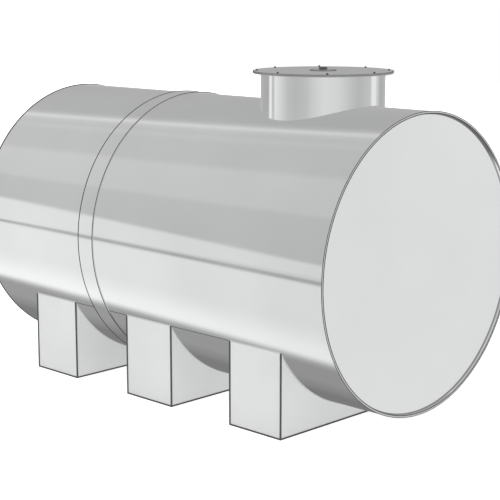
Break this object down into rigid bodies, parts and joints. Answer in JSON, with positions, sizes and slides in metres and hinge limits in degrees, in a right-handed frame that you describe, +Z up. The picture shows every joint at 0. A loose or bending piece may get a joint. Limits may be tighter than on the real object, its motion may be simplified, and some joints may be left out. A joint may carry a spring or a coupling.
{
  "type": "water storage tank",
  "caption": "Horizontal cylindrical steel water tank with flat recessed ends, a girth band, a bolted round manway with a small vent, on box saddles",
  "frame": {"origin": "on the ground under the middle of the tank", "axes": "+X along the tank towards the manway end, +Z up, -Y the front side seen in the picture"},
  "size_m": [2.5, 1.4626, 1.687],
  "materials": {
    "tank_steel": "polished stainless plate with a fine grain",
    "plate_steel": "satin stainless plate",
    "weld_steel": "brushed weld bead",
    "dark_steel": "blackened steel",
    "gasket_rubber": "black sheet rubber"
  },
  "bodies": {
    "root": {"far_crown_plate": "tank_steel", "far_front_plate": "tank_steel", "far_belly_plate": "tank_steel", "far_back_plate": "tank_steel", "near_crown_plate": "tank_steel", "near_front_plate": "tank_steel", "near_belly_plate": "tank_steel", "near_back_plate": "tank_steel", "girth_band": "tank_steel", "far_end_plate": "plate_steel", "near_end_plate": "plate_steel", "far_end_weld": "weld_steel", "near_end_weld": "weld_steel", "manway_neck": "tank_steel", "manway_weld": "weld_steel", "manway_flange": "tank_steel", "manway_gasket": "gasket_rubber", "manway_cover": "plate_steel", "cover_bolts": "dark_steel", "vent_pad": "tank_steel", "vent_neck": "dark_steel", "vent_cap": "dark_steel", "far_saddle_front": "plate_steel", "far_saddle_back": "plate_steel", "far_saddle_left_web": "plate_steel", "far_saddle_right_web": "plate_steel", "far_saddle_base": "plate_steel", "middle_saddle_front": "plate_steel", "middle_saddle_back": "plate_steel", "middle_saddle_left_web": "plate_steel", "middle_saddle_right_web": "plate_steel", "middle_saddle_base": "plate_steel", "near_saddle_front": "plate_steel", "near_saddle_back": "plate_steel", "near_saddle_left_web": "plate_steel", "near_saddle_right_web": "plate_steel", "near_saddle_base": "plate_steel"}
  },
  "joints": []
}
